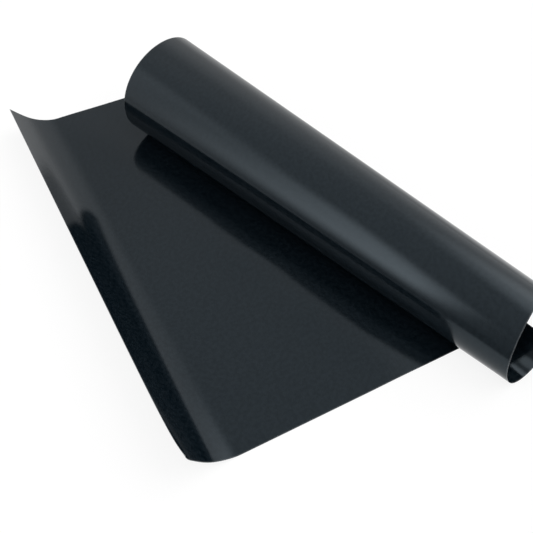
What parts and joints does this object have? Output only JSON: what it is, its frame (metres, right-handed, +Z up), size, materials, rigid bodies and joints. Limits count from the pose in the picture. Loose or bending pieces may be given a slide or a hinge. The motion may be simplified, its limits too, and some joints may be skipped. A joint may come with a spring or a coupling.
{
  "type": "grill mat",
  "caption": "Thin black non-stick grill mat of coated glass cloth, laid out flat with a curled free edge and its other end rolled up askew.",
  "frame": {"origin": "under the middle of the object's box, on the surface that it lies on", "axes": "+Z up, +Y along the line where the roll leaves the table, from the near end to the wider far end, -X from the roll over the flat part towards the curled free edge"},
  "size_m": [0.2266, 0.4076, 0.0589],
  "materials": {
    "glass_cloth": "plain woven glass cloth, seen only as a hairline at the cut edges",
    "black_coating": "black non-stick coating, satin gloss, with the fine weave of the cloth under it"
  },
  "bodies": {
    "root": {"glass_cloth_core": "glass_cloth", "upper_coating": "black_coating", "lower_coating": "black_coating"}
  },
  "joints": []
}
